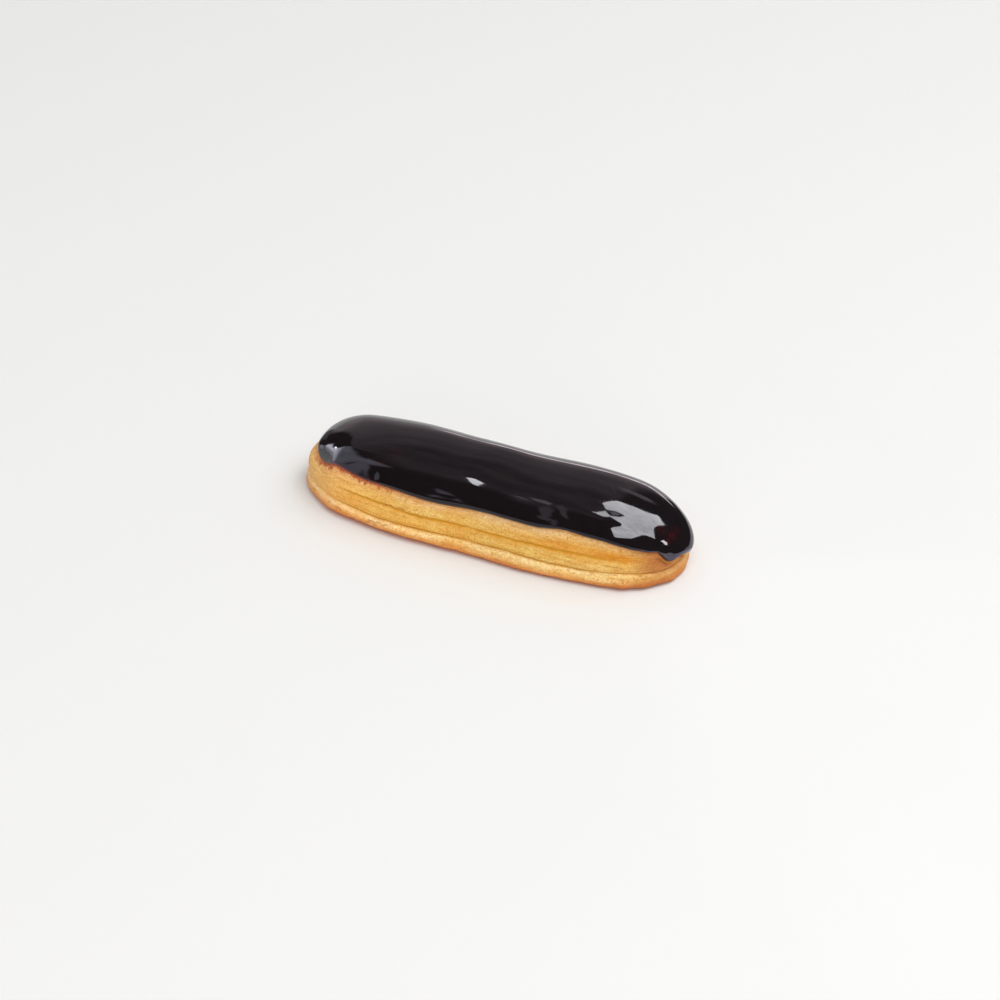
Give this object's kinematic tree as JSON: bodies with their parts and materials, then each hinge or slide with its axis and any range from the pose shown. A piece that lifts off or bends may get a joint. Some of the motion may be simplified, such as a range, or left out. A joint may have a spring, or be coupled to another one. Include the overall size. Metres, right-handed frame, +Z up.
{
  "type": "eclair",
  "caption": "Long baked choux finger with a spread skirt and creased side bands, capped with glossy dark chocolate icing that laps down its sides and over one end.",
  "frame": {"origin": "middle of the bounding box on the flat underside, where the eclair rests", "axes": "+X along the eclair, towards the end over which the icing hangs lowest; +Z up; -Y is the side that faces the viewer in the picture"},
  "size_m": [0.1388, 0.0426, 0.0279],
  "materials": {
    "choux_crust": "baked golden crust, finely grained",
    "chocolate_icing": "glossy dark chocolate"
  },
  "bodies": {
    "root": {"choux": "choux_crust", "icing": "chocolate_icing"}
  },
  "joints": []
}
